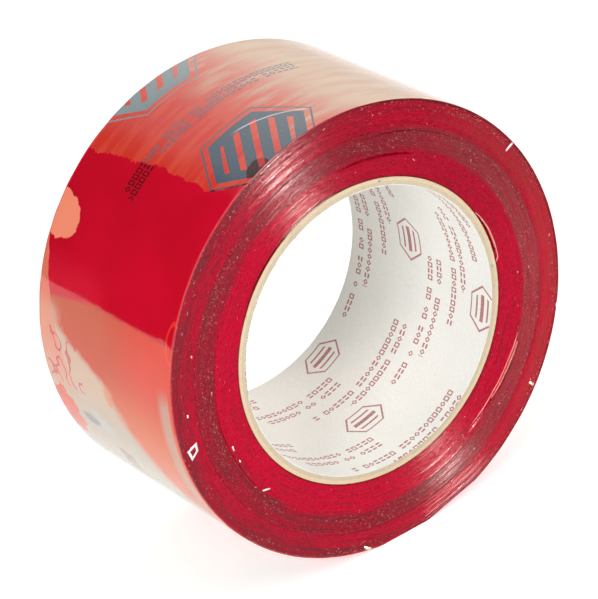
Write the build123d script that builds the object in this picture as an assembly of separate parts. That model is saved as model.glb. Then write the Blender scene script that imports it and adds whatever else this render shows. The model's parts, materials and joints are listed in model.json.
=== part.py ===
from build123d import *
import math
import os

# A roll of pressure-sensitive film tape, 60 mm wide, wound on a spiral-wound paperboard core.
#
# Frame, in millimetres: the origin is the centre of the core's bore and the bore runs along Y.
# +Z is up, with the roll standing on the flat that its own weight has pressed into its rim.
# Angles are in degrees, from +X towards +Z, so 0 is level with the bore and -90 is the floor.

# Tape
TAPE_WIDTH = 60.0
TAPE_LENGTH = 66_000.0
TAPE_THICKNESS = 0.08  # 0.05 film and 0.03 adhesive
ROLL_RADIUS = 60.2

# Core: a printed white liner, then two plies of grey chipboard and two of cream kraft board
BORE_RADIUS = 38.1  # the 3 inch core that hand dispensers take
CORE_PLIES = {
    "core_liner": 0.15,
    "core_ply_1": 0.55,
    "core_ply_2": 0.55,
    "core_ply_3": 0.48,
    "core_ply_4": 0.47,
}
CORE_RADIUS = BORE_RADIUS + sum(CORE_PLIES.values())

# Each ply is a strip wound as a helix, and its edges meet in a butt seam.
STRIP_ANGLE = 24.5  # between a strip and the core's circumference
SEAM_GAP = 0.4
FIRST_SEAM = 115.0  # where the liner's seam crosses the middle of the width
SEAM_STAGGER = 74.0  # from one ply's seam to the next ply's

# Turns: the pitch is what the tape takes up radially, with the air wound in between the turns
TURNS = 2 * TAPE_LENGTH / (math.tau * (ROLL_RADIUS + CORE_RADIUS))
TURN_PITCH = (ROLL_RADIUS - CORE_RADIUS) / TURNS
WOUND_RADIUS = ROLL_RADIUS - TURN_PITCH
BAND_RADII = (47.5, 53.5)  # where the winding's tension changes, and with it the side's tone

# Flats pressed into the rim: the direction each one faces, and its depth below the round
FLATS = {-90.0: 0.54, -76.0: 0.70}

# Free end: the tape's last stretch, in segments hinged on the tape's outer surface
PEEL_LINE = 42.0  # where the free end leaves the roll
SEGMENT_COUNT = 6
SEGMENT_ANGLE = 10.0
TIP_GAP = 0.3  # between the free end's tip and the last turn's tail
TIP = PEEL_LINE - SEGMENT_COUNT * SEGMENT_ANGLE


def tube(inner, outer):
    """A round tube along Z over the tape's width."""
    return Cylinder(outer, TAPE_WIDTH) - Cylinder(inner, TAPE_WIDTH)


def across(shape):
    """Turns a shape modelled along Z so that its axis lies along Y."""
    return Rot(90, 0, 0) * shape


def seam_cut(inner, outer, middle_angle):
    """The helical slot between a ply's two edges, which crosses the middle of the width at middle_angle."""
    pitch = math.tau * BORE_RADIUS * math.tan(math.radians(STRIP_ANGLE))
    height = 1.15 * TAPE_WIDTH
    start_angle = middle_angle - 180 * height / pitch
    route = Helix(pitch=pitch, height=height, radius=(inner + outer) / 2)
    route = Pos(0, 0, -height / 2) * Rot(0, 0, start_angle) * route
    start = route @ 0
    section_plane = Plane(origin=start, x_dir=(start.X, start.Y, 0), z_dir=route % 0)
    return sweep(section_plane * Rectangle(2 * (outer - inner), SEAM_GAP), path=route, is_frenet=True)


def core_ply(inner, outer, seam_angle):
    """One ply of the core: a helical strip with a butt seam."""
    return across(tube(inner, outer) - seam_cut(inner, outer, seam_angle))


def wound_profile(radius):
    """The outline of the winding at a radius near the rim, round but for the pressed flats."""
    profile = Circle(radius)
    for angle, depth in FLATS.items():
        beyond = Pos(1.5 * radius - depth, 0) * Rectangle(radius, 2 * radius)
        profile -= Rot(0, 0, angle) * beyond
    return profile


def wound_body(profile):
    """A profile of the winding drawn out to the tape's width."""
    return extrude(profile, TAPE_WIDTH / 2, both=True)


def sector(low, high):
    """A wedge from the axis out past the rim, between two angles less than 180 apart."""
    reach = 3 * ROLL_RADIUS
    corners = [(0, 0)]
    for angle in (low, high):
        corners.append((reach * math.cos(math.radians(angle)), reach * math.sin(math.radians(angle))))
    return make_face(Polyline(*corners, close=True))


def end_segment(low, high):
    """A stretch of the free end between two angles, lying along the roll."""
    ring = Circle(ROLL_RADIUS) - Circle(ROLL_RADIUS - TAPE_THICKNESS)
    return across(wound_body(ring & sector(low, high)))


parts = {}

# Core
inner_radius = BORE_RADIUS
for index, (name, thickness) in enumerate(CORE_PLIES.items()):
    seam = FIRST_SEAM + index * SEAM_STAGGER
    parts[name] = core_ply(inner_radius, inner_radius + thickness, seam)
    inner_radius += thickness

# Winding, from the core out to the turn under the last one
parts["tape_wraps_inner"] = across(tube(CORE_RADIUS, BAND_RADII[0]))
parts["tape_wraps_middle"] = across(tube(BAND_RADII[0], BAND_RADII[1]))
outer_band = wound_profile(WOUND_RADIUS) - Circle(BAND_RADII[1])
parts["tape_wraps_outer"] = across(wound_body(outer_band))

# The last turn, from the peel line round to the free end's tip
last_turn = wound_profile(ROLL_RADIUS) - wound_profile(WOUND_RADIUS)
tip_gap_angle = math.degrees(TIP_GAP / ROLL_RADIUS)
parts["tape_last_turn"] = across(wound_body(last_turn - sector(TIP - tip_gap_angle, PEEL_LINE)))

# The free end, from the peel line to the tip
for index in range(SEGMENT_COUNT):
    high = PEEL_LINE - index * SEGMENT_ANGLE
    parts[f"tape_end_{index + 1}"] = end_segment(high - SEGMENT_ANGLE, high)

os.makedirs("parts", exist_ok=True)
for name, part in parts.items():
    part.label = name
    export_step(part, f"parts/{name}.step")

print("core radius", round(CORE_RADIUS, 3))
print("turns", round(TURNS, 1), "at a pitch of", round(TURN_PITCH, 4))
print("free end", round(math.radians(PEEL_LINE - TIP) * ROLL_RADIUS, 1), "long")
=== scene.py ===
import json
import math

import bmesh
import bpy
import numpy as np
from mathutils import Matrix, Vector

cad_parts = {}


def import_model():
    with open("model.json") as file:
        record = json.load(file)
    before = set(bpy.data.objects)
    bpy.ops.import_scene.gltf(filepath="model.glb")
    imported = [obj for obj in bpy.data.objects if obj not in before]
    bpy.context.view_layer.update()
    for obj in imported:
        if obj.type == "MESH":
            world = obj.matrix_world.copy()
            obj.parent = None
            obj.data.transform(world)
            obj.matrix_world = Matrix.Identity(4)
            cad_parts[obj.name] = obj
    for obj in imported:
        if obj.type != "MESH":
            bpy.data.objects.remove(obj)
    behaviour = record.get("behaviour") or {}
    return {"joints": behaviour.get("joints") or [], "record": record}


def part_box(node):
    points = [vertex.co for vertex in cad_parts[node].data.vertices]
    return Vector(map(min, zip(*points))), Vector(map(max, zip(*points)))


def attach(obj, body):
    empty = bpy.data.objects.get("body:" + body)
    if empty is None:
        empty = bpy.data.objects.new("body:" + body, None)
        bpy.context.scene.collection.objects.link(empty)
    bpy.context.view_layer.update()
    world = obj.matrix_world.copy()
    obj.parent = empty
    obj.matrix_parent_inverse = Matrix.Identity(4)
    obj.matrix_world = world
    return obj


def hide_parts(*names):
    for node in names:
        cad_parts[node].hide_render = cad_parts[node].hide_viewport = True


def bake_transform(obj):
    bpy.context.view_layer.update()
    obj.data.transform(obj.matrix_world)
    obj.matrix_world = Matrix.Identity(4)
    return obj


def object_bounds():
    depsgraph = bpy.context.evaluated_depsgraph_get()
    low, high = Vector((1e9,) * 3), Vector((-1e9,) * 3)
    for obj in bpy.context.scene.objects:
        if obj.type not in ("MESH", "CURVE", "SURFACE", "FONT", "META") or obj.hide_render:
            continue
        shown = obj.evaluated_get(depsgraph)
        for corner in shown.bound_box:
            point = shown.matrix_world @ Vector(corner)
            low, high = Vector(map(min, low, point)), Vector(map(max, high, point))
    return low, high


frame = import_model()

# A roll of printed red film tape on a spiral-wound paperboard core.
#
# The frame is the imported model's: the bore runs along Y through the origin, +Z is up, and the near side is at -Y.
# Lengths in this script are millimetres, and angles are degrees from +X towards +Z, until a mesh is built in metres.

cad_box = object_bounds()
MM = 0.001
UM = 0.000001

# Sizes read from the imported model
record = frame["record"]
BORE = next(m for m in record["mounts"] if m["name"] == "core_bore")["dims"]["r_mm"]
HALF_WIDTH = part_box("tape_wraps_outer")[1].y / MM
PLY_NAMES = ["core_liner", "core_ply_1", "core_ply_2", "core_ply_3", "core_ply_4"]
BAND_NAMES = ["tape_wraps_inner", "tape_wraps_middle", "tape_wraps_outer"]
PLY_RADII = [BORE] + [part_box(name)[1].x / MM for name in PLY_NAMES]
CORE = PLY_RADII[-1]
BAND_RADII = [CORE] + [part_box(name)[1].x / MM for name in BAND_NAMES]
WOUND = BAND_RADII[-1]
RIM = -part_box("tape_last_turn")[0].x / MM
FLOOR_Z = cad_box[0].z
HINGES = [math.degrees(math.atan2(j["pos_m"][2], j["pos_m"][0])) for j in frame["joints"]]
SEGMENT = HINGES[0] - HINGES[1]
PEEL_LINE = HINGES[0]
TIP = HINGES[-1] - SEGMENT

# Flats pressed into the rim: the direction each faces, and its depth below the round
FLATS = {-90.0: 0.54, -76.0: 0.70}
CORNER_SHARPNESS = 1600.0

# Core: how its strips are wound
STRIP_ANGLE = 24.5
SEAM_PITCH = 2 * math.pi * BORE * math.tan(math.radians(STRIP_ANGLE))
FIRST_SEAM = 115.0  # where the liner's seam crosses the middle of the width
SEAM_STAGGER = 74.0  # from one ply's seam to the next ply's
SEAM_GAP = 0.4

# Tape
FILM = 0.08  # film and adhesive
TIP_GAP = 0.3  # between the free end's tip and the last turn's tail


# --------------------
# Meshes


def polar(radius, angle, y):
    """Points in metres from a radius and a y in mm and an angle in degrees, which broadcast together."""
    radius, angle, y = np.broadcast_arrays(radius, np.radians(angle), y)
    return np.stack([radius * np.cos(angle), y, radius * np.sin(angle)], axis=-1) * MM


def build(name, vertices, faces, materials, maps=None, sharp=35.0, smooth=True):
    """A mesh object from an (n, 3) array of vertices and a list of face arrays, each (m, 3) or (m, 4).

    maps holds the coordinates that the materials read, as vertex attributes: tape_map is the place along the tape and
    across it and the radius, and side_map is the angle's cosine and sine and the radius before the winding is warped,
    all in mm."""
    mesh = bpy.data.meshes.new(name)
    groups = [np.asarray(f, dtype=np.int32) for f in faces if len(f)]
    corners = np.concatenate([g.ravel() for g in groups])
    totals = np.concatenate([np.full(len(g), g.shape[1], dtype=np.int32) for g in groups])
    starts = np.concatenate([[0], np.cumsum(totals)[:-1]]).astype(np.int32)
    mesh.vertices.add(len(vertices))
    mesh.vertices.foreach_set("co", np.asarray(vertices, dtype=np.float32).ravel())
    mesh.loops.add(len(corners))
    mesh.loops.foreach_set("vertex_index", corners)
    mesh.polygons.add(len(totals))
    mesh.polygons.foreach_set("loop_start", starts)
    mesh.polygons.foreach_set("loop_total", totals)
    mesh.update(calc_edges=True)
    mesh.validate()
    for map_name, values in (maps or {}).items():
        attribute = mesh.attributes.new(map_name, "FLOAT_VECTOR", "POINT")
        attribute.data.foreach_set("vector", np.asarray(values, dtype=np.float32).ravel())
    if smooth:
        mesh.polygons.foreach_set("use_smooth", np.ones(len(totals), dtype=bool))
        mesh.set_sharp_from_angle(angle=math.radians(sharp))
    obj = bpy.data.objects.new(name, mesh)
    bpy.context.scene.collection.objects.link(obj)
    for material in materials:
        mesh.materials.append(material)
    return obj


def grid_faces(columns, rows, close_columns, close_rows):
    """Quads over a grid of vertices numbered column by column."""
    c = np.arange(columns if close_columns else columns - 1)
    r = np.arange(rows if close_rows else rows - 1)
    c, r = (a.ravel() for a in np.meshgrid(c, r, indexing="ij"))
    c_next, r_next = (c + 1) % columns, (r + 1) % rows
    quads = [c * rows + r, c * rows + r_next, c_next * rows + r_next, c_next * rows + r]
    return np.stack(quads, axis=-1)


def fix_normals(obj):
    """Turns a closed mesh's faces so that they all point outwards."""
    work = bmesh.new()
    work.from_mesh(obj.data)
    bmesh.ops.recalc_face_normals(work, faces=work.faces)
    work.to_mesh(obj.data)
    work.free()


def waves(rng, count, turns, across, scale=1.0):
    """A smooth random field of an angle and a second coordinate, periodic round the roll: a function of the two."""
    k = rng.integers(turns[0], turns[1] + 1, count)
    m = rng.uniform(across[0], across[1], count) * rng.choice([-1, 1], count)
    phase = rng.uniform(0, 2 * math.pi, count)
    weight = rng.uniform(0.5, 1.0, count)
    weight *= scale / math.sqrt((weight**2).sum() / 2)

    def field(angle, other):
        total = 0
        for i in range(count):
            total = total + weight[i] * np.sin(k[i] * np.radians(angle) + m[i] * other + phase[i])
        return total

    return field


def turned(angle, centre):
    """An angle's signed distance from a centre, from -180 to 180 degrees."""
    return (np.asarray(angle) - centre + 180) % 360 - 180


def bell(angle, centre, spread):
    """A smooth bump of height 1 at an angle, which dies away over spread degrees."""
    return np.exp(-((turned(angle, centre) / spread) ** 2))


def rim(radius, angle):
    """The rim's outline at an angle: a round of the given radius with its two pressed flats, their corners softened."""
    total = np.ones(np.shape(angle))
    for direction, depth in FLATS.items():
        cosine = np.maximum(np.cos(np.radians(turned(angle, direction))), 0.5)
        total = total + ((radius - depth) / cosine / radius) ** -CORNER_SHARPNESS
    return radius * total ** (-1 / CORNER_SHARPNESS)


# --------------------
# Shader nodes


class Field:
    """A number that varies over a surface: a node's socket, with arithmetic that adds Math nodes."""

    def __init__(self, tree, socket):
        self.tree, self.socket = tree, socket

    def math(self, operation, *others, clamp=False):
        node = self.tree.nodes.new("ShaderNodeMath")
        node.operation = operation
        node.use_clamp = clamp
        for socket, value in zip(node.inputs, (self, *others)):
            plug(self.tree, value, socket)
        return Field(self.tree, node.outputs[0])

    def __add__(self, other):
        return self.math("ADD", other)

    __radd__ = __add__

    def __sub__(self, other):
        return self.math("SUBTRACT", other)

    def __rsub__(self, other):
        return (self * -1.0).math("ADD", other)

    def __mul__(self, other):
        return self.math("MULTIPLY", other)

    def __truediv__(self, other):
        return self.math("DIVIDE", other)

    def __abs__(self):
        return self.math("ABSOLUTE")

    def above(self, value):
        return self.math("GREATER_THAN", value)

    def below(self, value):
        return self.math("LESS_THAN", value)

    def inside(self, low, high):
        return self.above(low) * self.below(high)

    def maximum(self, other):
        return self.math("MAXIMUM", other)

    def fraction(self):
        return self.math("FRACT")

    def clamped(self, scale=1.0):
        """The value times scale, held between 0 and 1."""
        return self.math("MULTIPLY", scale, clamp=True)

    def ramp(self, low, high, out_low=0.0, out_high=1.0):
        """The value carried smoothly from low..high to out_low..out_high, and held there outside it."""
        node = self.tree.nodes.new("ShaderNodeMapRange")
        node.interpolation_type = "SMOOTHSTEP"
        plug(self.tree, self, node.inputs["Value"])
        for name, value in zip(("From Min", "From Max", "To Min", "To Max"), (low, high, out_low, out_high)):
            node.inputs[name].default_value = value
        return Field(self.tree, node.outputs["Result"])


def plug(tree, value, socket):
    """Links a field or a socket to a node's input, or sets the input to a constant."""
    if isinstance(value, Field):
        tree.links.new(value.socket, socket)
    elif isinstance(value, bpy.types.NodeSocket):
        tree.links.new(value, socket)
    else:
        socket.default_value = value


def principled(name, **constants):
    """A new material, with its Principled shader's sockets set to constants by name."""
    material = bpy.data.materials.new(name)
    material.use_nodes = True
    tree = material.node_tree
    shader = tree.nodes["Principled BSDF"]
    for socket, value in constants.items():
        shader.inputs[socket.replace("_", " ")].default_value = value
    return material, tree, shader


def surface_map(tree, name):
    """The three coordinates that a mesh carries as its vertex attribute of that name."""
    node = tree.nodes.new("ShaderNodeAttribute")
    node.attribute_name = name
    split = tree.nodes.new("ShaderNodeSeparateXYZ")
    tree.links.new(node.outputs["Vector"], split.inputs[0])
    return [Field(tree, socket) for socket in split.outputs]


def vector(tree, x, y, z=0.0):
    """A vector socket from three fields or numbers."""
    node = tree.nodes.new("ShaderNodeCombineXYZ")
    for socket, value in zip(node.inputs, (x, y, z)):
        plug(tree, value, socket)
    return node.outputs[0]


def noise(tree, at, scale=1.0, detail=2.0, roughness=0.5):
    """Smooth noise round 0.5; a scale of 1 makes its largest lumps about 1 across, in the units of at."""
    node = tree.nodes.new("ShaderNodeTexNoise")
    tree.links.new(at, node.inputs["Vector"])
    for name, value in (("Scale", scale), ("Detail", detail), ("Roughness", roughness)):
        node.inputs[name].default_value = value
    return Field(tree, node.outputs["Fac"])


def dice(tree, *at):
    """A random number from 0 to 1 for each whole-number cell."""
    node = tree.nodes.new("ShaderNodeTexWhiteNoise")
    node.noise_dimensions = "2D"
    tree.links.new(vector(tree, *at), node.inputs["Vector"])
    return Field(tree, node.outputs["Value"])


def mix(tree, amount, first, second):
    """first where amount is 0 and second where it is 1; each is a colour or a socket."""
    node = tree.nodes.new("ShaderNodeMix")
    node.data_type = "RGBA"
    plug(tree, amount, node.inputs["Factor"])
    for socket, value in ((node.inputs[6], first), (node.inputs[7], second)):
        plug(tree, (*value, 1.0) if isinstance(value, tuple) else value, socket)
    return node.outputs[2]


def layered(tree, colour, layers):
    """A colour with (share, colour) layers laid over it one by one."""
    for share, tone in layers:
        colour = mix(tree, share, colour, tone)
    return colour


def dress(tree, shader, colour, relief, depth):
    """Gives a shader its colour, and its normal from a relief field in which 1 is depth in metres."""
    node = tree.nodes.new("ShaderNodeBump")
    node.inputs["Strength"].default_value = 1.0
    node.inputs["Distance"].default_value = depth
    tree.links.new(relief.socket, node.inputs["Height"])
    tree.links.new(node.outputs["Normal"], shader.inputs["Normal"])
    tree.links.new(colour, shader.inputs["Base Color"])


# --------------------
# Print: plain marks and rows of small shapes, with no lettering


def hexagon(u, v, half_length, half_height):
    """0 at the middle of a flat-topped hexagon and 1 on its outline."""
    rise = abs(v) / half_height
    return rise.maximum(abs(u) / half_length + rise * 0.5)


def small_print(tree, along, off, length, height, cell, row):
    """A row of small plain shapes, in groups with gaps, centred on along 0 and off 0. Its shapes are drawn by lot for
    each cell, and row is the lot's seed."""
    step = along / cell + 0.5
    index = step.math("FLOOR")
    u = abs(step - index - 0.5)
    v = abs(off / height)
    kind = dice(tree, index, row)
    filled = dice(tree, index, row + 0.37).above(0.16)
    square = (u / 0.40).maximum(v / 0.5).inside(0.50, 1.0)
    diamond = (u / 0.48 + v / 0.5).inside(0.45, 1.0)
    dashes = u.below(0.36) * v.inside(0.16, 0.5)
    picked = kind.below(0.36) * square + kind.inside(0.36, 0.68) * diamond + kind.above(0.68) * dashes
    return picked * filled * abs(along).below(length / 2)


def tape_print(tree, s, y):
    """The ink on the tape: a striped hexagonal mark by each edge, and two rows of small print between them."""
    repeat, first = 130.0, 111.8  # from one pair of marks to the next, and where one pair is centred
    marks = ((0.0, -21.0), (-2.2, 33.0))  # each mark's centre, along and across
    rows = ((6.9, 60.0), (4.0, 58.0))  # each row's place across, and its length
    stripe_pitch, stripe_slant, stripe_share = 5.4, 0.6, 0.36

    u = (((s - first) / repeat + 0.5).fraction() - 0.5) * repeat
    ink = None
    for mark_u, mark_y in marks:
        du, dv = u - mark_u, y - mark_y
        outline = hexagon(du, dv, 17.0, 14.0)
        stripes = ((du + dv * stripe_slant) / stripe_pitch + 0.15).fraction().below(stripe_share)
        stripes = stripes * hexagon(du, dv, 11.5, 8.6).below(1.0)
        mark = (outline.below(0.86) - stripes).maximum(outline.inside(0.965, 1.0))
        ink = mark if ink is None else ink.maximum(mark)
    for row, (row_y, length) in enumerate(rows):
        ink = ink.maximum(small_print(tree, u + 1.5, y - row_y, length, 2.35, 1.8, row + 3.0) * 0.85)
    return ink


def liner_print(tree, s, y):
    """The liner's print: on a slanted lattice, a small outlined mark and a block of two rows of small print."""
    across, down, shift, slope = 72.0, 10.05, 20.7, 0.042  # the lattice's steps, each row's shift, and its slant
    first_s, first_y, first_share = -1.5, 4.1, 0.32  # where the lattice begins
    rows = ((1.9, 47.0), (-1.9, 27.0))  # each row's place in the block, and its length
    bar_pitch, bar_share = 1.9, 0.36

    y_level = y - first_y - (s - first_s) * slope
    row = (y_level / -down).math("ROUND")
    v = y_level + row * down
    along = (s - first_s - row * shift) / across + first_share
    index = along.math("FLOOR")
    u = (along - index - first_share) * across
    outline = hexagon(u, v, 6.3, 4.7)
    bars = (abs(v) / bar_pitch).fraction().below(bar_share) * abs(u).below(3.6) * outline.below(0.72)
    every_other = ((index + row) * 0.5).fraction().below(0.25)
    ink = outline.inside(0.9, 1.0).maximum(bars) * every_other
    seed = index * 3.0 + row
    for line, (line_v, length) in enumerate(rows):
        text = small_print(tree, u - across / 2, v - line_v, length, 1.95, 1.75, seed + line * 7.0)
        ink = ink.maximum(text)
    return ink


# --------------------
# Materials

CRIMSON = (0.48, 0.001, 0.026)  # the wound turns' edges

# The film's outer face: stuck down it is deep red with black ink, and with air under it salmon with grey ink
STUCK_RED = ((0.50, 0.001, 0.018), (0.45, 0.001, 0.014))
STUCK_INK = (0.020, 0.004, 0.006)
INK = (0.060, 0.095, 0.130)
PALE_INK = (0.27, 0.34, 0.35)
# A painted highlight for the film's edges, where they catch the light
LIP_HIGHLIGHT = (0.64, 0.060, 0.085)
# A painted highlight along a crease over the print
CREASE_HIGHLIGHT = (0.62, 0.64, 0.63)


def spot_mask(s, y, centre, radii, wobble):
    """An uneven round spot on the tape: 0 at its middle and 1 on its outline."""
    along = abs((s - centre[0]) / radii[0]).math("POWER", 2.0)
    across = abs((y - centre[1]) / radii[1]).math("POWER", 2.0)
    return along + across + wobble


def loose_zones(tree, s, y):
    """Where the outermost turn isn't stuck down or has air under it, with pale tones that are partly painted reflection
    and lines of painted highlight, in mm along the tape and across it.

    Returns (share, colour) pairs, each laid over the ones before it. The first is the loose stretch that runs to the
    free end, where the ink is grey too."""
    at = vector(tree, s, y)
    ragged = noise(tree, at, scale=0.22, detail=6.0, roughness=0.68)
    wobble = (ragged - 0.5) * 2.6
    drawn_out = noise(tree, vector(tree, s * 0.20, y), scale=0.26, detail=4.0, roughness=0.55)

    # The loose stretch, from the free end over the top to a ragged border, and a pale tone on it that is partly dust
    # and partly a painted reflection of the ceiling
    near_end = (y * -1.0 - 17.0).maximum(0.0)
    border = 128.8 + (y - 2.0).maximum(0.0) * 0.14 - near_end * near_end * 0.036 + (ragged - 0.5) * 5.0
    stuck_patch = spot_mask(s, y, (118.6, -29.0), (3.4, 3.2), wobble * 1.2).below(1.0)
    loose = (border - s).above(0.0) * (1.0 - stuck_patch)
    streaks = drawn_out.ramp(0.64, 0.34, 0.06, 0.94)
    dulled_top = s.ramp(103.0, 86.0) * drawn_out.ramp(0.66, 0.40, 0.70, 0.90)
    dulled_end = (s + (drawn_out - 0.5) * 34.0).ramp(41.0, 62.0)
    dulled = streaks.maximum(dulled_top) * s.ramp(113.0, 96.0) * dulled_end

    # The lower left: haze, then a loosely stuck stretch that goes from orange to peach, with pale tones that are partly
    # a painted reflection of the floor
    lower_end = s.ramp(262.0, 236.0)
    hazy = s.ramp(157.0, 166.0) * y.ramp(-4.0, 10.0) * (0.8 + wobble * 0.3)
    lower = (s - (y - 6.0).maximum(0.0) * 0.17).ramp(166.8, 168.4) * lower_end
    brown = s.ramp(182.0, 170.0) * y.ramp(-8.0, 6.0)
    near_red = (y + 6.0).ramp(6.0, -14.0) * s.ramp(200.0, 176.0)
    peach = s.ramp(180.0, 200.0) * y.ramp(6.0, -6.0)
    salmon_edge = 20.6 - s.ramp(176.0, 190.0) * 22.0 - (s - 190.0).maximum(0.0) * 0.6 + (ragged - 0.5) * 6.0
    pale = (y - salmon_edge).ramp(-2.0, 5.0) * s.ramp(170.0, 176.0) * lower_end
    near_grey = (y + 25.0).ramp(2.0, -1.0) * y.ramp(-29.2, -28.2) * s.ramp(178.0, 185.0) * s.ramp(222.0, 205.0)

    # Pockets of air, stains and wavy lines, and painted highlights and reflections on the loose far edge, on an air
    # pocket by it and round the blister
    # The loose far edge, its peach tone a painted grazing highlight
    far_edge_highlight = (y - 29.0 + (s - 157.6) * 0.31 + (ragged - 0.5) * 2.0).above(0.0)
    far_edge_highlight = far_edge_highlight * s.ramp(153.0, 156.0) * s.ramp(206.0, 180.0)
    # An air pocket by the far edge, lightened with a painted reflection of its wrinkles
    spot = spot_mask(s, y + (s - 150.0) * 0.25, (150.0, 28.6), (6.2, 9.6), wobble * 0.45).below(1.0)
    rust = spot_mask(s, y, (205.0, 26.0), (8.0, 4.6), wobble * 1.2).below(1.0)
    rust_dot = spot_mask(s, y, (191.0, 0.6), (2.8, 1.6), wobble * 1.2).below(1.0)
    smudge = spot_mask(s, y, (203.6, 15.0), (1.9, 4.0), wobble * 1.2).ramp(1.3, 0.2)
    cool = spot_mask(s, y + (s - 203.0) * 0.6, (203.0, 9.0), (4.0, 4.5), wobble).ramp(1.2, 0.2)
    contour = abs(noise(tree, at, scale=0.17, detail=1.0) - 0.5).below(0.028)
    squiggle = contour * s.inside(179.0, 195.0) * y.inside(13.0, 28.5)
    # Painted highlight: a bright line round the blister by the near edge, where the lifted film catches the light
    blister = abs(spot_mask(s, y, (166.2, -29.6), (5.6, 2.6), wobble * 0.4) - 0.8).below(0.22)
    return [
        (loose, (0.54, 0.030, 0.020)),
        (loose * drawn_out.ramp(0.42, 0.62) * 0.5, (0.62, 0.085, 0.045)),
        # Painted reflection: the pale beige tone is partly dust and partly stands in for the ceiling's reflection
        (dulled * 0.9, (0.52, 0.345, 0.245)),
        (dulled * s.ramp(94.0, 78.0) * drawn_out.ramp(0.62, 0.38, 0.56, 0.8), (0.60, 0.46, 0.32)),
        (hazy * 0.65, (0.60, 0.012, 0.036)),
        (lower, (0.48, 0.044, 0.006)),
        (lower * brown * 0.5, (0.46, 0.090, 0.034)),
        (lower * near_red * 0.85, (0.60, 0.030, 0.010)),
        (lower * peach * 0.5, (0.66, 0.16, 0.040)),
        # Painted reflection: the pale tones are partly the film's and partly stand in for the floor's reflection
        (pale * 0.88, (0.52, 0.40, 0.30)),
        (pale * s.ramp(190.0, 204.0) * 0.7, (0.40, 0.37, 0.31)),
        (near_grey * 0.6, (0.36, 0.33, 0.26)),
        (far_edge_highlight * 0.75, (0.66, 0.20, 0.12)),
        (spot, (0.78, 0.235, 0.145)),
        (rust * 0.9, (0.62, 0.055, 0.012)),
        (cool * 0.4, (0.42, 0.50, 0.52)),
        (rust_dot * 0.6, (0.62, 0.19, 0.06)),
        (smudge * 0.75, (0.13, 0.16, 0.18)),
        (squiggle * 0.75, (0.48, 0.02, 0.06)),
        (blister * 0.8, (0.70, 0.035, 0.022)),
    ]


def film_material(name, with_print, with_zones, roughness=0.05):
    """Glossy film: red, slightly rippled, with print under its surface and places where it isn't stuck down."""
    material, tree, shader = principled(name, IOR=1.5)
    s, y, _ = surface_map(tree, "tape_map")
    at = vector(tree, s, y)
    cloud = noise(tree, at, scale=0.06, detail=3.0).ramp(0.35, 0.65)
    colour = mix(tree, cloud, *STUCK_RED)
    ink = STUCK_INK
    if with_zones:
        zones = loose_zones(tree, s, y)
        colour = layered(tree, colour, zones)
        loose = zones[0][0]
        ink = mix(tree, y.ramp(0.0, 28.0) * 0.6, INK, PALE_INK)
        ink = mix(tree, loose, STUCK_INK, ink)
        # Painted highlight: a light line along both edges of the film, where its rolled edge catches the light
        lip = abs(y).ramp(29.50, 29.72) * s.ramp(84.0, 100.0) * s.ramp(300.0, 270.0)
        colour = mix(tree, lip * 0.6, colour, LIP_HIGHLIGHT)
    if with_print:
        wear = noise(tree, at, scale=1.6, detail=3.0).ramp(0.30, 0.44, 0.82, 1.0)
        colour = mix(tree, tape_print(tree, s, y) * wear, colour, ink)
    if with_zones:  # a painted highlight along a crease over the print, bowed across the near mark
        bow = (116.0 - s) * (116.0 - s) * 0.025
        crease_highlight = abs(y + 11.0 + bow + (cloud - 0.5) * 0.5).ramp(0.42, 0.10)
        crease_highlight = crease_highlight * s.ramp(95.0, 97.0) * s.ramp(114.0, 109.0)
        colour = mix(tree, crease_highlight * 0.7, colour, CREASE_HIGHLIGHT)
    smear = noise(tree, vector(tree, s * 0.4, y), scale=0.5, detail=4.0)
    tree.links.new(smear.ramp(0.3, 0.75, roughness * 0.7, roughness * 1.6).socket, shader.inputs["Roughness"])
    ripple = noise(tree, at, scale=0.30, detail=2.0)
    fine = noise(tree, vector(tree, s, y * 0.6), scale=1.1, detail=2.0)
    dress(tree, shader, colour, ripple * 0.75 + fine * 0.25, 20 * UM)
    return material


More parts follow.
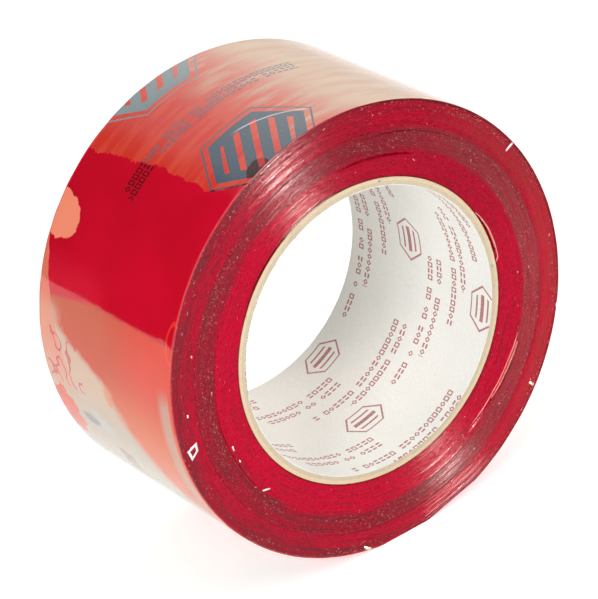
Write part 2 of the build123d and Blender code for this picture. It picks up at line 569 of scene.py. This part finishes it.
def edge_material(name):
    """The side of the winding: the cut edges of the turns, in bands of different tone, grooved round the axis."""
    material, tree, shader = principled(name, Anisotropic=0.97, Specular_IOR_Level=0.05, IOR=1.5)
    x, z, r = surface_map(tree, "side_map")

    def grooved(round_axis, along_radius, detail, roughness):
        """Noise drawn out round the axis: the larger the first factor, the shorter its marks."""
        at = vector(tree, x * round_axis, z * round_axis, r * along_radius)
        return noise(tree, at, detail=detail, roughness=roughness)

    patch = grooved(3.2, 0.35, 2.0, 0.5)
    lines = grooved(4.0, 11.0, 1.0, 0.5)
    streak = grooved(5.0, 1.7, 3.0, 0.6)
    fine = grooved(9.0, 7.0, 2.0, 0.6)
    dash = grooved(42.0, 3.4, 2.0, 0.6)
    grain = grooved(85.0, 2.1, 2.0, 0.7)

    # Bands, by the radius in mm
    uneven = r + (patch - 0.5) * 2.2 + (streak - 0.5) * 1.6
    middle = uneven.ramp(46.9, 48.6) * uneven.ramp(54.2, 52.8)
    outer = r.ramp(56.6, 57.8)
    mottle = (dash * 0.6 + streak * 0.4).ramp(0.42, 0.60) * r.ramp(46.0, 54.0, 0.55, 0.62)

    # Brownish haze on the middle band, and beyond it mostly on the left
    haze = middle * (streak * 0.55 + patch * 0.9 + fine * 0.25 - 0.24)
    haze = haze + r.ramp(53.2, 55.0) * x.ramp(0.3, -0.6) * (streak * 0.7 + patch * 0.5 + fine * 0.4 - 0.45)
    haze = haze + outer * x.ramp(0.3, -0.4, 0.4, 1.0) * (streak * 0.7 + patch * 0.5 + fine * 0.3 - 0.34)
    haze = haze + (streak + fine * 0.5).ramp(0.72, 1.0, 0.0, 0.45)

    # Dull turns on the right, painted shade at the top that stands in for a dark reflection, a painted highlight along
    # the rim on the left and a dark rim on the right
    dulled = middle * x.ramp(0.1, 0.95) * (streak * 1.3 + dash * 0.8 - 0.50)
    brick = r.ramp(53.0, 55.5) * x.ramp(0.4, 0.85) * (streak * 1.2 + dash * 0.6 - 0.45)
    # Painted shade: the top of the side is darkened, standing in for a dark reflection in the cut edges
    painted_top_shade = (x * 0.50 + z * 0.87).ramp(0.45, 0.95) * 0.24
    # Painted highlight: a light line along the outer rim on the left, where the edge catches the light
    painted_rim_highlight = r.ramp(59.70, 59.90) * x.ramp(0.2, -0.2)
    dark_rim = r.ramp(59.1, 59.8) * x.ramp(-0.3, 0.2)
    # Painted shadow: a dark ring where the first turns lie recessed by the core
    painted_shadow_by_core = r.ramp(40.9, 40.35)
    density = (middle * 0.06 + outer * 0.065) * patch.ramp(0.35, 0.6, 0.4, 1.2) - 0.005
    specks = (grain * 0.6 + dash * 0.4 + density).ramp(0.60, 0.72)
    pits = (grain * 0.6 + streak * 0.4 - density).ramp(0.46, 0.30)
    colour = layered(tree, CRIMSON, [
        (mottle, (0.22, 0.001, 0.012)),
        (haze.clamped(), (0.16, 0.016, 0.024)),
        (dulled.clamped(0.9), (0.36, 0.058, 0.066)),
        (brick.clamped(0.8), (0.42, 0.050, 0.050)),
        (painted_top_shade, (0.06, 0.001, 0.004)),
        (painted_rim_highlight * 0.5, (0.70, 0.11, 0.10)),
        (dark_rim * 0.7, (0.07, 0.003, 0.008)),
        (painted_shadow_by_core * 0.8, (0.05, 0.004, 0.006)),
        (specks * 0.32, (0.86, 0.36, 0.33)),
        (pits * 0.5, (0.12, 0.004, 0.012)),
    ])

    # The grooves draw a lamp's reflection out along the radius, in streaks that the roughness breaks up
    tree.links.new((dash * 0.6 + grain * 0.4).ramp(0.42, 0.62, 0.42, 0.15).socket, shader.inputs["Roughness"])
    dress(tree, shader, colour, lines * 0.32 + fine * 0.20 + grain * 0.48, 90 * UM)
    tree.links.new(vector(tree, x, 0.0, z), shader.inputs["Tangent"])
    return material


def liner_material():
    """White paper with fine fibres and worn print."""
    material, tree, shader = principled("liner_paper", Roughness=0.60, IOR=1.45, Specular_IOR_Level=0.12)
    s, y, _ = surface_map(tree, "tape_map")
    at = vector(tree, s, y)
    fibre = noise(tree, vector(tree, s * 0.35, y), scale=2.4, detail=4.0, roughness=0.6)
    mottle = noise(tree, at, scale=0.12, detail=3.0)
    paper = mix(tree, fibre.ramp(0.35, 0.65), (0.69, 0.70, 0.67), (0.75, 0.755, 0.73))
    paper = mix(tree, mottle.ramp(0.45, 0.75) * 0.35, paper, (0.68, 0.68, 0.65))
    wear = noise(tree, at, scale=3.0, detail=3.0, roughness=0.7).ramp(0.34, 0.56, 0.62, 1.0)
    colour = mix(tree, liner_print(tree, s, y) * wear, paper, (0.34, 0.105, 0.10))
    dress(tree, shader, colour, fibre, 20 * UM)
    return material


def board_material(name, light, dark):
    """Chipboard: fibres and flecks along the ply, with a fuzzy cut edge."""
    material, tree, shader = principled(name, Roughness=0.9, Specular_IOR_Level=0.15)
    s, y, r = surface_map(tree, "tape_map")
    fibre = noise(tree, vector(tree, s * 0.5, y * 1.5, r * 3.0), scale=1.8, detail=4.0, roughness=0.65)
    fleck = noise(tree, vector(tree, s, y, r), scale=4.5, detail=2.0)
    colour = mix(tree, fibre.ramp(0.32, 0.68), light, dark)
    colour = mix(tree, fleck.ramp(0.66, 0.72) * 0.5, colour, (0.30, 0.24, 0.17))
    dress(tree, shader, colour, fibre, 120 * UM)
    return material


def chip_material(name, colour, roughness=0.35):
    """Small loose bits of torn film and dried adhesive."""
    material, tree, shader = principled(name, Roughness=roughness)
    coordinates = tree.nodes.new("ShaderNodeTexCoord")
    cloud = noise(tree, coordinates.outputs["Object"], scale=900.0, detail=2.0)
    darker = tuple(c * 0.8 for c in colour)
    tree.links.new(mix(tree, cloud.ramp(0.35, 0.65), colour, darker), shader.inputs["Base Color"])
    return material


FILM_PRINTED = film_material("film_printed", True, True)
FILM_UNDER = film_material("film_under_the_end", True, False, roughness=0.07)
ADHESIVE = film_material("film_adhesive_side", False, False, roughness=0.22)
TURN_EDGES = edge_material("turn_edges")
LINER = liner_material()
GREY_BOARD = board_material("grey_chipboard", (0.465, 0.40, 0.28), (0.375, 0.33, 0.225))
KRAFT_BOARD = board_material("kraft_board", (0.58, 0.455, 0.285), (0.50, 0.39, 0.23))
CHIP_WHITE = chip_material("torn_film_pale", (0.86, 0.80, 0.78))
CHIP_YELLOW = chip_material("torn_film_yellowed", (0.80, 0.74, 0.48))
CHIP_RED = chip_material("torn_film_red", (0.80, 0.22, 0.20), roughness=0.25)
# Pale pink for the raised turn edges, partly a painted highlight where they catch the light
CHIP_PINK_HIGHLIGHT = chip_material("torn_film_pink", (0.85, 0.36, 0.32), roughness=0.25)


# --------------------
# Core


def ply(index, name, material, rows, columns=300):
    """One ply: a helical strip whose two edges meet at a narrow seam, with a slightly fuzzy cut at each end."""
    rng = np.random.default_rng(40 + index)
    inner, outer = PLY_RADII[index], PLY_RADII[index + 1]
    seam = FIRST_SEAM + index * SEAM_STAGGER
    gap = math.degrees(SEAM_GAP / math.sin(math.radians(STRIP_ANGLE)) / inner)
    travel = np.linspace(gap / 2, 360 - gap / 2, columns)

    # The strip's section: up the inside, over the far end, down the outside and back over the near end
    wall = np.linspace(-HALF_WIDTH, HALF_WIDTH, rows)
    over = np.linspace(inner, outer, 5)[1:-1]
    profile_r = np.concatenate([np.full(rows, inner), over, np.full(rows, outer), over[::-1]])
    profile_y = np.concatenate([wall, np.full(3, HALF_WIDTH), wall[::-1], np.full(3, -HALF_WIDTH)])
    size = len(profile_r)
    angle = (seam - profile_y * 360 / SEAM_PITCH)[None, :] - 360 + travel[:, None]
    fuzz = waves(rng, 14, (20, 160), (3, 14), 0.035)(angle, profile_r[None, :])
    swell = waves(rng, 8, (2, 9), (0.02, 0.3), 0.02)(angle, profile_y[None, :])
    y = profile_y[None, :] * np.ones_like(angle)
    at_end = np.abs(profile_y) > HALF_WIDTH - 0.01
    y = y - np.sign(y) * at_end * (0.05 + np.abs(fuzz))
    r = profile_r[None, :] + swell * ((profile_r == inner) & ~at_end)[None, :]
    vertices = polar(r, angle, y).reshape(-1, 3)
    lay = np.stack([np.radians(angle) * BORE, y, r * np.ones_like(angle)], axis=-1).reshape(-1, 3)

    # The strip's two edges at the seam: quads between the inside and the outside, then the fuzzy ends' corners
    faces = [grid_faces(columns, size, False, True)]
    left = np.arange(rows - 1)
    across_wall = np.stack([left, left + 1, 2 * rows + 1 - left, 2 * rows + 2 - left], axis=-1)
    last = 2 * rows + 3
    for base in (0, (columns - 1) * size):
        faces.append(across_wall + base)
        faces.append(np.array([[rows - 1, rows, rows + 1, rows + 2], [0, last - 1, last, last + 1]]) + base)
        faces.append(np.array([[0, last + 1, last + 2]]) + base)
    obj = build(name + "_paper", vertices, faces, [material], {"tape_map": lay})
    fix_normals(obj)
    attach(obj, "roll")
    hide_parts(name)
    return obj


# Each ply's material, its slot, and the rows of vertices across its width
PLY_LOOKS = [(LINER, "liner_paper", 140)] + 2 * [(GREY_BOARD, "grey_chipboard", 64)]
PLY_LOOKS += 2 * [(KRAFT_BOARD, "kraft_board", 64)]
for index, (name, (material, slot, rows)) in enumerate(zip(PLY_NAMES, PLY_LOOKS)):
    ply(index, name, material, rows)


# --------------------
# Winding: each turn's edge sits a little in or out of its neighbours'

# How far the bands have shifted outwards, in mm by the angle
WANDER = {80: -1.3, 110: -0.9, 150: -0.3, 200: 0.2, 248: 0.8, 300: 1.0, 340: 0.9, 380: 0.4, 410: -0.3}


def wander(angle):
    """The bands' shift at an angle, midway between the core and the rim: WANDER, smoothed round the roll."""
    keys, values = np.array(list(WANDER)), np.array(list(WANDER.values()))
    keys = np.concatenate([keys - 360, keys, keys + 360])
    fine = np.interp((np.arange(720) / 2) % 360, keys, np.tile(values, 3))
    kernel = np.exp(-((np.arange(-60, 61) / 24.0) ** 2))
    fine = np.convolve(np.tile(fine, 3), kernel / kernel.sum(), mode="same")[720:1440]
    return np.interp(np.asarray(angle) % 360, np.arange(721) / 2, np.append(fine, fine[0]))


def warped(radius, angle):
    """A turn's real radius at an angle: round at the core, pushed about inside, pressed by the flats at the rim."""
    depth = np.clip((radius - CORE) / (RIM - CORE), 0, 1)
    shifted = radius + wander(angle) * np.sin(np.pi * depth) ** 1.2
    start = BAND_RADII[2]
    pressed = (rim(WOUND, angle) - start) / (WOUND - start)
    return np.where(radius > start, shifted + (radius - start) * (pressed - 1), shifted)


# Places where turns have parted: radius and angle at one end and at the other, width, depth, and which side
CRACKS = [
    (46.7, 92.0, 46.9, 62.0, 0.30, 0.9, -1),
    (46.6, -60.0, 48.2, -24.0, 0.26, 0.8, -1),
    (47.6, -50.0, 49.0, -27.0, 0.20, 0.6, -1),
    (40.7, 150.0, 40.6, 84.0, 0.30, 0.7, -1),
    (52.6, 84.0, 52.9, 44.0, 0.20, 0.5, -1),
    (47.9, 178.0, 47.3, 216.0, 0.22, 0.5, -1),
    (45.0, 10.0, 45.8, 48.0, 0.24, 0.6, 1),
    (50.1, 120.0, 50.6, 176.0, 0.22, 0.6, 1),
    (42.4, 230.0, 42.2, 262.0, 0.25, 0.6, 1),
]


def side_depth(rng, radius, angle, side):
    """How far in from the roll's side each turn's edge lies, for a column of radii and a row of angles: steps from
    turn to turn that are deeper in some bands, with slow and quick waves, a dished side and the cracks."""
    steps = rng.uniform(0.0, 1.0, len(radius))[:, None]
    steps[1::2] = steps[::2][: len(steps[1::2])]
    band = np.interp(radius, [CORE, 47.2, 47.8, 53.2, 53.8, 57.0, 57.6, RIM],
                     [0.05, 0.06, 0.15, 0.15, 0.07, 0.07, 0.13, 0.12])[:, None]
    slow = waves(rng, 10, (1, 7), (0.6, 5.0))(angle[None, :], radius[:, None])
    quick = waves(rng, 12, (9, 40), (1.0, 7.0))(angle[None, :], radius[:, None])
    depth = band * (steps + 0.30 * slow + 0.10 * quick)
    dish = waves(rng, 5, (1, 3), (0.05, 0.25), 0.05)(angle[None, :], radius[:, None])
    depth = depth + dish
    for r0, a0, r1, a1, width, deep, where in CRACKS:
        if where != side:
            continue
        share = turned(angle, (a0 + a1) / 2) / ((a1 - a0) / 2)
        centre = (r0 + r1) / 2 + (r1 - r0) / 2 * np.clip(share, -1.2, 1.2)
        along = np.clip(1 - np.abs(share) ** 4, 0, 1)
        depth = depth + deep * along[None, :] * np.exp(-(((radius[:, None] - centre[None, :]) / width) ** 2))
    return np.maximum(depth, 0.0)


def lens_depth(radius, angle):
    """The gap by the core where the first turns have come away from the paper."""
    centre, half, width, deep = 14.0, 10.5, 1.05, 1.1
    reach = width * np.clip(1 - (turned(angle, centre) / half) ** 4, 0, 1)
    return deep * (radius[:, None] < CORE + reach[None, :]) * (reach[None, :] > 0.02)


def band(index, name, columns=600):
    """One band of the winding, with its turns' edges on both sides."""
    inner, outer = BAND_RADII[index], BAND_RADII[index + 1]
    rng = np.random.default_rng(70 + index)
    angle = np.arange(columns) * 360 / columns
    cuts = [inner]
    while cuts[-1] < outer - 0.3:
        cuts.append(cuts[-1] + rng.choice([0.1, 0.19, 0.19, 0.29]))  # one, two or three turns
    cuts[-1] = outer
    lip = 0.018  # half the width of the slope between two steps
    radii = np.concatenate([[a + lip * (a > inner), b - lip * (b < outer)] for a, b in zip(cuts, cuts[1:])])
    wall_rows = 24 if index == 2 else 3
    wall = np.linspace(-1, 1, wall_rows + 2)[1:-1]
    near = side_depth(rng, radii, angle, -1)
    far = side_depth(rng, radii, angle, 1)
    if index == 0:
        near = near + lens_depth(radii, angle)
    r = warped(radii[:, None], angle[None, :])
    r_in, r_out = r[:1], r[-1:]
    rows_r = np.concatenate([r, np.repeat(r_out, wall_rows, 0), r[::-1], np.repeat(r_in, wall_rows, 0)])
    low, high = -HALF_WIDTH + near, HALF_WIDTH - far
    outside = low[-1:] + (high[-1:] - low[-1:]) * (wall[:, None] + 1) / 2
    inside = high[:1] + (low[:1] - high[:1]) * (wall[:, None] + 1) / 2
    rows_y = np.concatenate([low, outside, high[::-1], inside])
    flat_r = np.concatenate([radii, np.full(wall_rows, outer), radii[::-1], np.full(wall_rows, inner)])
    vertices = polar(rows_r, angle[None, :], rows_y).transpose(1, 0, 2).reshape(-1, 3)
    shape = rows_r.shape
    cosine, sine = (np.broadcast_to(f(np.radians(angle))[None, :], shape) for f in (np.cos, np.sin))
    side = np.stack([cosine, sine, np.broadcast_to(flat_r[:, None], shape)], axis=-1)
    side = side.transpose(1, 0, 2).reshape(-1, 3)
    along = np.radians((angle[None, :] - PEEL_LINE) % 360 + PEEL_LINE) * WOUND
    lay = np.stack([np.broadcast_to(along, shape), rows_y, rows_r], axis=-1)
    lay = lay.transpose(1, 0, 2).reshape(-1, 3)
    size = shape[0]
    obj = build(name + "_turns", vertices, [grid_faces(columns, size, True, True)], [TURN_EDGES, FILM_UNDER],
                {"side_map": side, "tape_map": lay}, sharp=30)
    if index == 2:  # its outer wall is the turn that shows under the free end
        row = np.tile(np.arange(size), columns)
        first = len(radii) - 1
        on_wall = (row >= first) & (row <= first + wall_rows)
        obj.data.polygons.foreach_set("material_index", on_wall.astype(np.int32))
    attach(obj, "roll")
    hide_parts(name)


for index, name in enumerate(BAND_NAMES):
    band(index, name)


# --------------------
# Film: the last turn and the free end


def pucker(angle, y):
    """Small creases and blisters in the last turn, as a height in mm."""
    rng = np.random.default_rng(17)
    creases = waves(rng, 7, (24, 60), (0.35, 0.9))(angle, y)
    swells = waves(rng, 7, (8, 22), (0.08, 0.25))(angle, y)
    far_edge = bell(angle, 144, 7) * np.exp(-(((y - 27) / 7.0) ** 2))
    lower = bell(angle, 177, 8) * np.clip((y + 2) / 14.0, 0, 1)
    blister = bell(angle, 158.5, 2.2) * np.exp(-(((y + 27.5) / 2.4) ** 2))
    height = 0.03 * far_edge * (1 + creases) + 0.020 * lower * creases + 0.14 * blister
    return height + 0.010 * swells


def tape_face(angle, y):
    """The outer radius of the outermost film at an angle and a y, with its edges rolled down a little."""
    drop, reach = 0.045, 0.5
    rolled = drop * np.exp(-(HALF_WIDTH - np.abs(y)) / reach)
    return rim(RIM, angle) - rolled + pucker(angle, y)


def film_strip(name, angles, across, tip_teeth=False, under_rows=12):
    """A stretch of tape along the rim: its outer face, its adhesive face, and its edges, closed all round."""
    rng = np.random.default_rng(90)
    edge_near = waves(rng, 9, (3, 60), (0, 0), 0.03)(angles, 0.0)
    edge_far = waves(rng, 9, (3, 60), (0, 0), 0.03)(angles, 0.0)
    inset = 0.06
    low, high = -HALF_WIDTH + inset + edge_near, HALF_WIDTH - inset + edge_far
    outer_share, under_share = (across + 1) / 2, np.linspace(1, 0, under_rows)
    y = low[:, None] + (high - low)[:, None] * np.concatenate([outer_share, under_share])[None, :]
    angle = np.broadcast_to(angles[:, None], y.shape)
    if tip_teeth:
        angle = angle + tooth(y) * tip_share(angles)[:, None]
    count = len(across)
    r = tape_face(angle, y) - FILM * (np.arange(y.shape[1]) >= count)
    vertices = polar(r, angle, y).reshape(-1, 3)
    lay = np.stack([np.radians(angle) * RIM, y, r], axis=-1).reshape(-1, 3)
    columns, size = y.shape

    # Each end is closed with quads, and triangles where the adhesive face has fewer rows than the outer one
    faces = [grid_faces(columns, size, False, True)]
    top = list(range(count))
    under = [count + under_rows - 1 - round(i * (under_rows - 1) / (count - 1)) for i in top]
    quads = [[i, i + 1, under[i + 1], under[i]] for i in top[:-1] if under[i] != under[i + 1]]
    thin = [[i, i + 1, under[i]] for i in top[:-1] if under[i] == under[i + 1]]
    for base in (0, (columns - 1) * size):
        faces += [np.array(group) + base for group in (quads, thin) if group]
    obj = build(name, vertices, faces, [FILM_PRINTED, ADHESIVE], {"tape_map": lay}, sharp=50)
    row = np.tile(np.arange(size), columns - 1)
    material_index = np.zeros(len(obj.data.polygons), dtype=np.int32)
    material_index[: len(row)] = (row >= count) & (row < size - 1)
    obj.data.polygons.foreach_set("material_index", material_index)
    fix_normals(obj)
    return obj


def tooth(y):
    """The free end's sawtooth cut: 0 at a tooth's point and 1 at its root, in degrees of the rim."""
    pitch, depth = 2.0, 0.9
    return math.degrees(depth / RIM) * 2 * np.abs((y / pitch) % 1 - 0.5)


def tip_share(angles):
    """How much of the teeth's depth the film has at an angle: all at the tip, and none a few columns before it."""
    reach = 1.6
    return np.clip((TIP + reach - angles) / reach, 0, 1)


ACROSS = np.concatenate([[-1, -0.992], np.linspace(-0.975, 0.975, 98), [0.992, 1]])
TAIL_END = TIP - math.degrees(TIP_GAP / RIM)
last_turn = film_strip("tape_last_turn_film", np.linspace(PEEL_LINE, 360 + TAIL_END, 880), ACROSS)
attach(last_turn, "roll")
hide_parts("tape_last_turn")

# Each stretch of the free end runs from the middle of one segment to the middle of the next, across the hinge
END_ACROSS = np.linspace(-1, 1, 61)
middles = [h - SEGMENT / 2 for h in HINGES]
bodies = ["roll"] + [j["child"] for j in frame["joints"]]
for i in range(len(HINGES)):
    high = PEEL_LINE if i == 0 else middles[i - 1]
    piece = film_strip(f"tape_end_film_{i + 1}", np.linspace(high, middles[i], 41), END_ACROSS)
    start, end = (polar(RIM, a, 0.0) for a in (high, middles[i]))
    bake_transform(piece)
    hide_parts(f"tape_end_{i + 1}")
TIP_ACROSS = np.linspace(-1, 1, 241)
tip = film_strip("tape_end_film_tip", np.linspace(middles[-1], TIP, 26), TIP_ACROSS, tip_teeth=True, under_rows=121)
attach(tip, bodies[-1])


# --------------------
# Loose bits: torn film, parted turns and strings of adhesive on the roll's near side


def bit(name, vertices, faces, material, smooth=False):
    """One loose bit on the roll."""
    obj = build(name, vertices, [np.array(group) for group in faces], [material], smooth=smooth)
    fix_normals(obj)
    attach(obj, "roll")


def shard(name, corners, thickness, material):
    """A flat chip on the near side from corners given as (radius, angle), a little crowned and standing off it."""
    lift, crown = 0.05, 0.03
    flat = [polar(r, a, -HALF_WIDTH - lift) for r, a in corners]
    back = [p + np.array([0, thickness * MM, 0]) for p in flat]
    middle = np.mean(flat, axis=0) + np.array([0, -crown * MM, 0])
    n = len(flat)
    front = [[i, (i + 1) % n, 2 * n] for i in range(n)]
    sides = [[i, n + i, n + (i + 1) % n, (i + 1) % n] for i in range(n)]
    underside = [[n, n + i + 1, n + i] for i in range(1, n - 1)]
    bit(name, np.array(flat + back + [middle]), [front, sides, underside], material)


def outline_chip(name, corners, width, thickness, material):
    """A thin bent scrap that shows as an outline on the near side, from corners given as (radius, angle)."""
    lift = 0.09
    outer = np.array([polar(r, a, -HALF_WIDTH - lift) for r, a in corners])
    middle = outer.mean(axis=0)
    inner = middle + (outer - middle) * (1 - width)
    deep = np.array([0, thickness * MM, 0])
    n = len(corners)
    faces = []
    for i in range(n):
        j = (i + 1) % n
        faces += [[i, j, n + j, n + i], [2 * n + i, 3 * n + i, 3 * n + j, 2 * n + j],
                  [i, 2 * n + i, 2 * n + j, j], [n + i, n + j, 3 * n + j, 3 * n + i]]
    bit(name, np.concatenate([outer, inner, outer + deep, inner + deep]), [faces], material)


def loose_edge(name, path, height, thickness):
    """A turn's edge that has come proud of the side: a narrow standing ribbon along (radius, angle) points. Its pale
    pink is partly a painted highlight on the raised edge.
    """
    steps, proud, rooted = 60, 0.02, 0.5
    keys = np.linspace(0, 1, len(path))
    t = np.linspace(0, 1, steps)
    radius = np.interp(t, keys, [p[0] for p in path])
    angle = np.interp(t, keys, [p[1] for p in path])
    rise = height * np.clip(np.sin(math.pi * t) * 2.5, 0.0, 1.0)
    near, back = -HALF_WIDTH - rise + proud, np.full(steps, -HALF_WIDTH + rooted)
    loop = [(radius, near), (radius + thickness, near), (radius + thickness, back), (radius, back)]
    vertices = np.stack([polar(r, angle, y) for r, y in loop], axis=1).reshape(-1, 3)
    ends = np.array([[0, 1, 2, 3]])
    faces = [grid_faces(steps, 4, False, True), ends, ends + 4 * (steps - 1)]
    bit(name, vertices, faces, CHIP_PINK_HIGHLIGHT, smooth=True)


def strings(name, count, seed, material):
    """Fine threads of adhesive and film across the turns, scattered over the roll's near side."""
    zones, shares = ((41.5, 47.0), (47.5, 54.0), (56.8, 59.8)), [0.18, 0.36, 0.46]  # radii, and how many in each
    rng = np.random.default_rng(seed)
    vertices, faces = [], []
    for i in range(count):
        r = rng.uniform(*zones[rng.choice(3, p=shares)])
        a = rng.uniform(0, 360)
        length, width = rng.uniform(0.25, 0.9), rng.uniform(0.05, 0.11)
        slant = rng.normal(0, 0.5)
        along = np.array([length * math.cos(slant), length * math.sin(slant)]) / 2
        aside = np.array([-math.sin(slant), math.cos(slant)]) * width / 2
        base = len(vertices)
        for end, side in ((-1, -1), (1, -1), (1, 1), (-1, 1)):
            d_angle, d_r = end * along + side * aside
            vertices.append(polar(r + d_r, a + math.degrees(d_angle / r), -HALF_WIDTH - 0.03 - 0.02 * side))
        vertices.append(polar(r, a, -HALF_WIDTH + 0.12))  # its root, in the side
        faces += [[base, base + 1, base + 2], [base, base + 2, base + 3]]
        faces += [[base + k, base + 4, base + (k + 1) % 4] for k in range(4)]
    bit(name, np.array(vertices), [faces], material)


shard("chip_sliver_upper", [(57.2, 31.7), (57.3, 32.1), (59.9, 31.95), (59.9, 31.4)], 0.12, CHIP_WHITE)
shard("chip_sliver_lower", [(57.7, -39.0), (57.9, -38.4), (59.5, -38.6), (59.4, -39.3)], 0.12, CHIP_YELLOW)
shard("chip_flake_bottom", [(58.7, -103.3), (59.6, -103.0), (60.4, -100.9), (59.5, -101.2)], 0.15, CHIP_YELLOW)
outline_chip("chip_scrap_left", [(55.3, 185.6), (58.4, 186.6), (58.0, 189.6), (55.5, 188.0)], 0.42, 0.1, CHIP_WHITE)
shard("chip_tick_a", [(46.7, -166.0), (47.1, -165.8), (47.1, -164.4), (46.75, -164.5)], 0.1, CHIP_WHITE)
shard("chip_tick_b", [(46.9, -160.4), (47.2, -160.2), (47.15, -159.5), (46.9, -159.6)], 0.1, CHIP_WHITE)
shard("chip_tick_c", [(47.9, -145.8), (47.95, -145.2), (46.5, -143.4), (46.35, -143.8)], 0.1, CHIP_WHITE)
shard("chip_dot_a", [(54.1, 161.4), (54.5, 161.5), (54.5, 162.1), (54.1, 162.2)], 0.1, CHIP_RED)
shard("chip_dot_b", [(55.8, 177.2), (56.2, 177.4), (56.1, 178.0), (55.8, 177.9)], 0.1, CHIP_WHITE)
shard("chip_dot_c", [(48.3, 173.4), (48.6, 173.5), (48.6, 174.4), (48.35, 174.3)], 0.1, CHIP_RED)
loose_edge("loose_turn_right_a", [(46.5, -58), (46.9, -45), (47.6, -34), (48.3, -25)], 0.22, 0.05)
loose_edge("loose_turn_right_b", [(47.7, -47), (48.4, -37), (49.1, -28)], 0.16, 0.05)
loose_edge("loose_turn_core", [(40.45, 2.9), (41.2, 4.6), (41.35, 10), (41.3, 17), (40.9, 23), (40.5, 26.5)],
           0.22, 0.16)
strings("adhesive_strings_pink", 90, 5, CHIP_RED)
strings("adhesive_strings_pale", 26, 6, CHIP_WHITE)


# --------------------
# Floor, light and camera


def floor():
    """A plain pale floor that the roll stands on."""
    reach, cells = 0.86, 24  # metres from the roll to the floor's edges, which the film reflects
    xs = np.linspace(-reach, reach, cells + 1)
    x, y = (a.ravel() for a in np.meshgrid(xs, xs, indexing="ij"))
    vertices = np.stack([x, y, np.full(x.shape, FLOOR_Z - 20 * UM)], axis=-1)
    material, tree, shader = principled("pale_floor", Roughness=0.9, Specular_IOR_Level=0.0)
    coordinates = tree.nodes.new("ShaderNodeTexCoord")
    cloud = noise(tree, coordinates.outputs["Object"], scale=3.0, detail=2.0)
    tree.links.new(mix(tree, cloud, (0.62, 0.62, 0.61), (0.64, 0.64, 0.63)), shader.inputs["Base Color"])
    shader.inputs["Emission Color"].default_value = (1, 1, 1, 1)
    shader.inputs["Emission Strength"].default_value = 0.55
    build("studio_floor", vertices, [grid_faces(cells + 1, cells + 1, False, False)[:, ::-1]], [material])


def world():
    """A bright studio ceiling and right over a dim surround, which gives the film its hard-edged reflections. The
    camera sees plain white behind the roll."""
    dim, lit = (0.05, 0.045, 0.04), (1.60, 1.56, 1.48)
    scene_world = bpy.data.worlds.new("studio")
    bpy.context.scene.world = scene_world
    scene_world.use_nodes = True
    tree = scene_world.node_tree
    coordinates = tree.nodes.new("ShaderNodeTexCoord")
    split = tree.nodes.new("ShaderNodeSeparateXYZ")
    tree.links.new(coordinates.outputs["Generated"], split.inputs[0])
    sideways, away, height = (Field(tree, socket) for socket in split.outputs)
    ceiling, right = height.ramp(0.618, 0.655), sideways.ramp(-0.22, -0.02)
    bright = ceiling.maximum(right) * sideways.ramp(-0.25, 0.45, 0.35, 1.0)
    bright = bright * away.ramp(-0.2, 0.4, 0.65, 1.0) * height.ramp(-0.05, 0.42, 0.62, 1.0)
    path = tree.nodes.new("ShaderNodeLightPath")
    soft_back = Field(tree, path.outputs["Is Diffuse Ray"]) * away.ramp(0.1, 0.5) * 0.38
    sky = mix(tree, bright.maximum(soft_back), dim, lit)
    sky = mix(tree, path.outputs["Is Camera Ray"], sky, (1, 1, 1))
    tree.links.new(sky, tree.nodes["Background"].inputs["Color"])


def softbox(name, direction, distance, size, power, colour=(1, 1, 1)):
    """A square area light, in metres and watts, that shines on the roll from a direction."""
    data = bpy.data.lights.new(name, "AREA")
    data.shape = "SQUARE"
    data.size = size
    data.energy = power
    data.color = colour
    light = bpy.data.objects.new(name, data)
    bpy.context.scene.collection.objects.link(light)
    towards = Vector(direction).normalized()
    light.location = towards * distance
    light.rotation_mode = "QUATERNION"
    light.rotation_quaternion = towards.to_track_quat("Z", "Y")
    return light


def camera():
    """The camera that was fitted to the photograph: it looks past the bore's centre by the two offsets."""
    azimuth, elevation, roll = (math.radians(a) for a in (-31.040, 28.103, -10.599))
    distance, offset_right, offset_up = 850.452, -0.717, -0.937  # mm
    back = Vector((math.sin(azimuth) * math.cos(elevation), -math.cos(azimuth) * math.cos(elevation),
                   math.sin(elevation)))
    level_right = Vector((math.cos(azimuth), math.sin(azimuth), 0))
    level_up = back.cross(level_right)
    right = math.cos(roll) * level_right + math.sin(roll) * level_up
    up = back.cross(right)
    data = bpy.data.cameras.new("camera")
    data.sensor_width = 36.0
    data.lens = 199.913
    data.clip_start, data.clip_end = 0.05, 20.0
    obj = bpy.data.objects.new("camera", data)
    bpy.context.scene.collection.objects.link(obj)
    place = Matrix((right, up, back)).transposed().to_4x4()
    place.translation = (back * distance + right * offset_right + up * offset_up) * MM
    obj.matrix_world = place
    bpy.context.scene.camera = obj


floor()
world()
softbox("key", (0.25, -0.70, 0.66), 0.9, 0.30, 0.95)
glint = softbox("glint", (0.05, -0.65, 0.75), 0.9, 0.12, 400.0, (1.0, 0.80, 0.76))
glint.visible_diffuse = False
fill = softbox("fill", (-0.76, -0.50, 0.42), 0.60, 0.20, 2.4)
fill.visible_glossy = False
back_fill = softbox("back_fill", (0.80, -0.50, 0.33), 0.9, 0.30, 0.9)
back_fill.visible_glossy = False
camera()
bpy.context.scene.view_settings.view_transform = "Standard"
